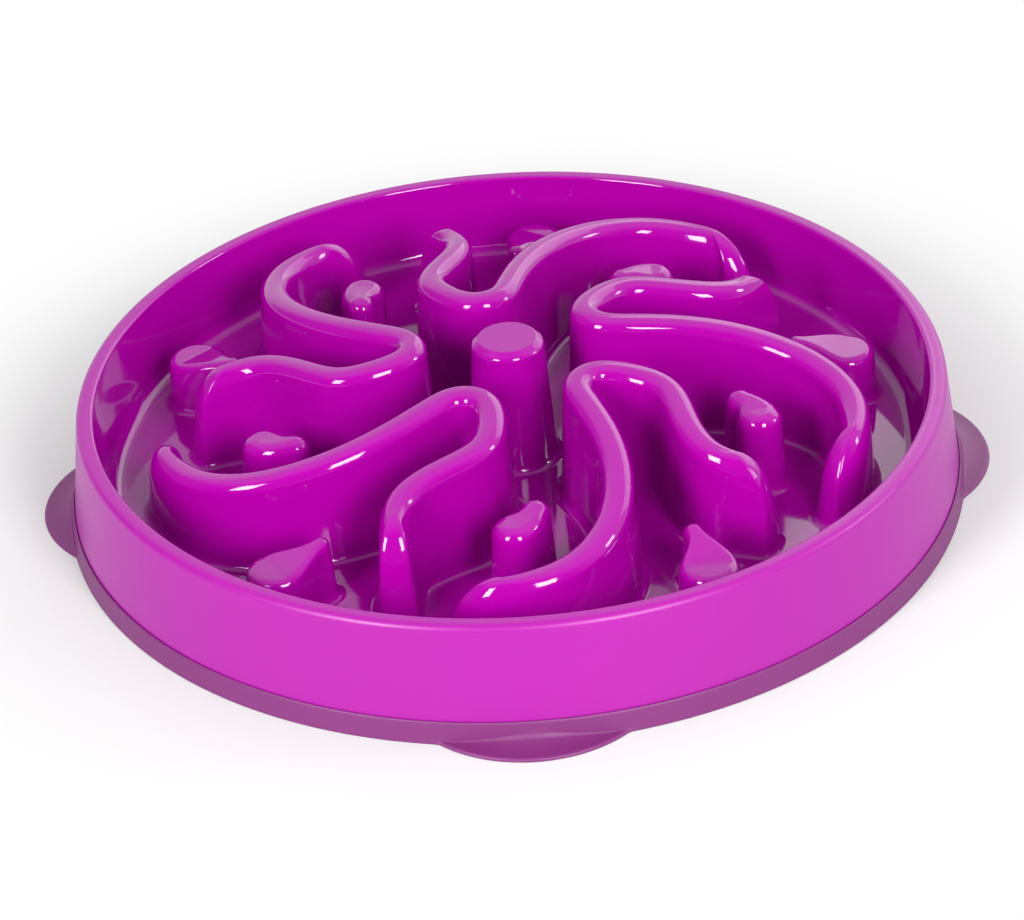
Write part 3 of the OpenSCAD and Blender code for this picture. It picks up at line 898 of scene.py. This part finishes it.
# Name, direction round the bowl and above the table in degrees, distance, width, height, and
# radiance; each one aims at the bowl
LIGHTS = [
    ("softbox_left", -130, 30, 1.4, 0.38, 0.6, 21),
    ("softbox_right", -66, 30, 1.4, 0.38, 0.6, 21),
    ("lamp_right", 0, 22, 1.5, 0.25, 0.36, 14),
    ("panel_behind", 52, 26, 1.6, 1.5, 0.9, 1.5),
]
# Soft light from all round, and the strength of the plain white that the eye sees
WORLD_FILL = 0.6
PLAIN_WHITE = 1.0
# The room in reflections, by the direction that they look in. Each change has its axis, where
# along it the change starts and ends, and its values before and after: the room is dark in
# front, pale overhead and palest behind, and all of it is dimmer toward the left
ROOM = {
    "overhead": ("Y", -0.68, 0.12, 0.06, 0.76),
    "behind": ("Y", 0.3, 0.9, 0.0, 0.35),
    "left": ("X", -0.8, -0.5, 0.2, 1.0),
}


def one_of(tree, *rays):
    """1 for a ray of one of these kinds, and 0 for any other."""
    path = put(tree, "ShaderNodeLightPath", {})
    found = path.outputs[rays[0]]
    for ray in rays[1:]:
        found = put(tree, "ShaderNodeMath", {0: found, 1: path.outputs[ray]},
                    operation="MAXIMUM").outputs[0]
    return found


def make_world():
    """The studio's surroundings: plain white to the eye, a soft fill on the bowl, and a room
    with a dark front that gives the gloss its depth."""
    world = bpy.data.worlds.new("studio")
    bpy.context.scene.world = world
    world.use_nodes = True
    tree = world.node_tree
    sky = tree.nodes["Background"]
    sky.inputs["Color"].default_value = linear("#FFFFFF")
    way = put(tree, "ShaderNodeTexCoord", {}).outputs["Generated"]
    axes = put(tree, "ShaderNodeSeparateXYZ", {"Vector": way})
    change = {}
    for name, (axis, start, end, before, after) in ROOM.items():
        change[name] = put(tree, "ShaderNodeMapRange",
                           {"Value": axes.outputs[axis], "From Min": start, "From Max": end,
                            "To Min": before, "To Max": after},
                           interpolation_type="SMOOTHSTEP").outputs["Result"]
    both = put(tree, "ShaderNodeMath", {0: change["overhead"], 1: change["behind"]},
               operation="ADD").outputs[0]
    room = put(tree, "ShaderNodeMath", {0: both, 1: change["left"]},
               operation="MULTIPLY").outputs[0]
    mirrored = put(tree, "ShaderNodeMix",
                   {"Factor": one_of(tree, "Is Glossy Ray"), "A": WORLD_FILL, "B": room})
    strength = put(tree, "ShaderNodeMix",
                   {"Factor": one_of(tree, "Is Camera Ray", "Is Transmission Ray"),
                    "A": mirrored.outputs["Result"], "B": PLAIN_WHITE})
    tree.links.new(strength.outputs["Result"], sky.inputs["Strength"])


def make_floor():
    """Matt paper under the bowl: it holds the soft shadow and fades to plain white around it."""
    mesh = bpy.data.meshes.new("studio_floor")
    h = FLOOR_HALF
    mesh.from_pydata([(-h, -h, 0), (h, -h, 0), (h, h, 0), (-h, h, 0)], [], [(0, 1, 2, 3)])
    floor = bpy.data.objects.new("studio_floor", mesh)
    bpy.context.scene.collection.objects.link(floor)
    material = bpy.data.materials.new("white_paper_sweep")
    material.use_nodes = True
    tree = material.node_tree
    paper = tree.nodes["Principled BSDF"]
    paper.inputs["Base Color"].default_value = linear("#D2D2D2")
    paper.inputs["Roughness"].default_value = 0.9
    paper.inputs["Specular IOR Level"].default_value = 0.1
    place = put(tree, "ShaderNodeTexCoord", {}).outputs["Object"]
    away = put(tree, "ShaderNodeVectorMath", {0: place}, operation="LENGTH").outputs["Value"]
    fade = put(tree, "ShaderNodeMapRange",
               {"Value": away, "From Min": FADE_START, "From Max": FADE_END},
               interpolation_type="SMOOTHSTEP").outputs["Result"]
    eye = one_of(tree, "Is Camera Ray", "Is Glossy Ray", "Is Transmission Ray")
    share = put(tree, "ShaderNodeMath", {0: fade, 1: eye}, operation="MULTIPLY").outputs[0]
    white = put(tree, "ShaderNodeEmission",
                {"Color": linear("#FFFFFF"), "Strength": PLAIN_WHITE})
    both = put(tree, "ShaderNodeMixShader",
               {0: share, 1: paper.outputs[0], 2: white.outputs[0]})
    tree.links.new(both.outputs[0], tree.nodes["Material Output"].inputs["Surface"])
    mesh.materials.append(material)


def make_lights():
    """The softboxes, lamp and panel as flat lights that face the bowl."""
    for name, turn, rise, away, width, height, radiance in LIGHTS:
        turn, rise = math.radians(turn), math.radians(rise)
        toward = Vector((math.cos(turn) * math.cos(rise), math.sin(turn) * math.cos(rise),
                         math.sin(rise)))
        data = bpy.data.lights.new(name, "AREA")
        data.shape = "RECTANGLE"
        data.size = width
        data.size_y = height
        data.energy = radiance * math.pi * width * height
        lamp = bpy.data.objects.new(name, data)
        lamp.location = toward * away
        lamp.rotation_euler = (-toward).to_track_quat("-Z", "Y").to_euler()
        bpy.context.scene.collection.objects.link(lamp)


make_world()
make_floor()
make_lights()

bpy.context.scene.view_settings.view_transform = "Standard"
